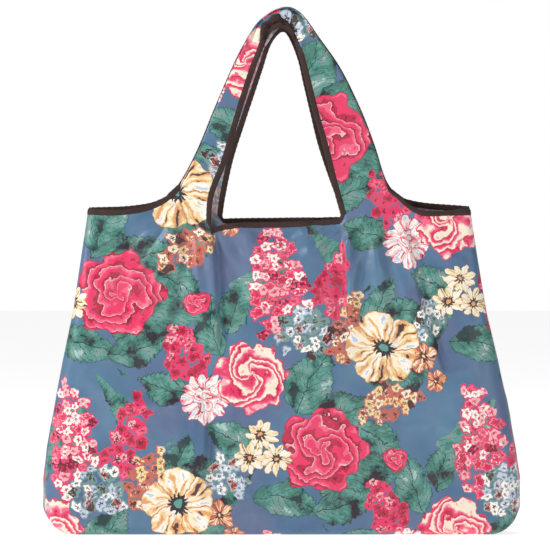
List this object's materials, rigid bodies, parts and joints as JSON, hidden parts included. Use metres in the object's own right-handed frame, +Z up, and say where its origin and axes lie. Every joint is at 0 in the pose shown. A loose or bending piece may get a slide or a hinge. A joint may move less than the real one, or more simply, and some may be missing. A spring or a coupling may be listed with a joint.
{
  "type": "foldable tote bag",
  "caption": "Foldable cloth shopping tote with loop handles on its front and rear, bound edges, side gussets and an inner stow pouch with a snap tab.",
  "frame": {"origin": "centre of the base, on the floor", "axes": "+Z up, -Y towards the front, +X to the right seen from the front"},
  "size_m": [0.6002, 0.09, 0.6669],
  "materials": {
    "print_cloth": "satin printed polyester",
    "pouch_cloth": "satin printed polyester",
    "binding": "matte folded tape",
    "snap_metal": "antique brushed"
  },
  "bodies": {
    "root": {"rear_panel": "print_cloth", "rear_mouth_binding": "binding", "rear_right_shoulder_binding": "binding", "rear_left_shoulder_binding": "binding", "right_gusset": "print_cloth", "right_gusset_binding": "binding", "left_gusset": "print_cloth", "left_gusset_binding": "binding", "base_panel": "print_cloth", "pouch_hanging_tape": "binding"},
    "front": {"front_panel": "print_cloth", "front_mouth_binding": "binding", "front_right_shoulder_binding": "binding", "front_left_shoulder_binding": "binding"},
    "front_handle": {"front_right_strap": "print_cloth", "front_right_strap_outer_binding": "binding", "front_right_strap_inner_binding": "binding", "front_left_strap": "print_cloth", "front_left_strap_outer_binding": "binding", "front_left_strap_inner_binding": "binding"},
    "rear_handle": {"rear_right_strap": "print_cloth", "rear_right_strap_outer_binding": "binding", "rear_right_strap_inner_binding": "binding", "rear_left_strap": "print_cloth", "rear_left_strap_outer_binding": "binding", "rear_left_strap_inner_binding": "binding"},
    "pouch": {"pouch_back": "pouch_cloth", "pouch_front": "pouch_cloth", "pouch_edge_binding": "binding", "pouch_mouth_binding": "binding", "snap_tab_base": "binding", "snap_stud": "snap_metal", "snap_post": "snap_metal"},
    "snap_tab": {"snap_tab": "binding", "snap_socket": "snap_metal", "snap_cap": "snap_metal"}
  },
  "joints": [
    {"name": "mouth_opening", "type": "hinge", "parent": "root", "child": "front", "pos_m": [0, -0.0445, 0.002], "axis": [1, 0, 0], "range_deg": [0, 7]},
    {"name": "front_handle_fold", "type": "hinge", "parent": "front", "child": "front_handle", "pos_m": [0, -0.0249, 0.4], "axis": [1, 0, 0], "range_deg": [0, 170]},
    {"name": "rear_handle_fold", "type": "hinge", "parent": "root", "child": "rear_handle", "pos_m": [0, 0.0249, 0.4], "axis": [-1, 0, 0], "range_deg": [0, 170]},
    {"name": "pouch_swing", "type": "hinge", "parent": "root", "child": "pouch", "pos_m": [0, 0.0203, 0.388], "axis": [-1, 0, 0], "range_deg": [0, 8]},
    {"name": "snap_tab_open", "type": "hinge", "parent": "pouch", "child": "snap_tab", "pos_m": [0, 0.0158, 0.371], "axis": [-1, 0, 0], "range_deg": [0, 150]}
  ]
}
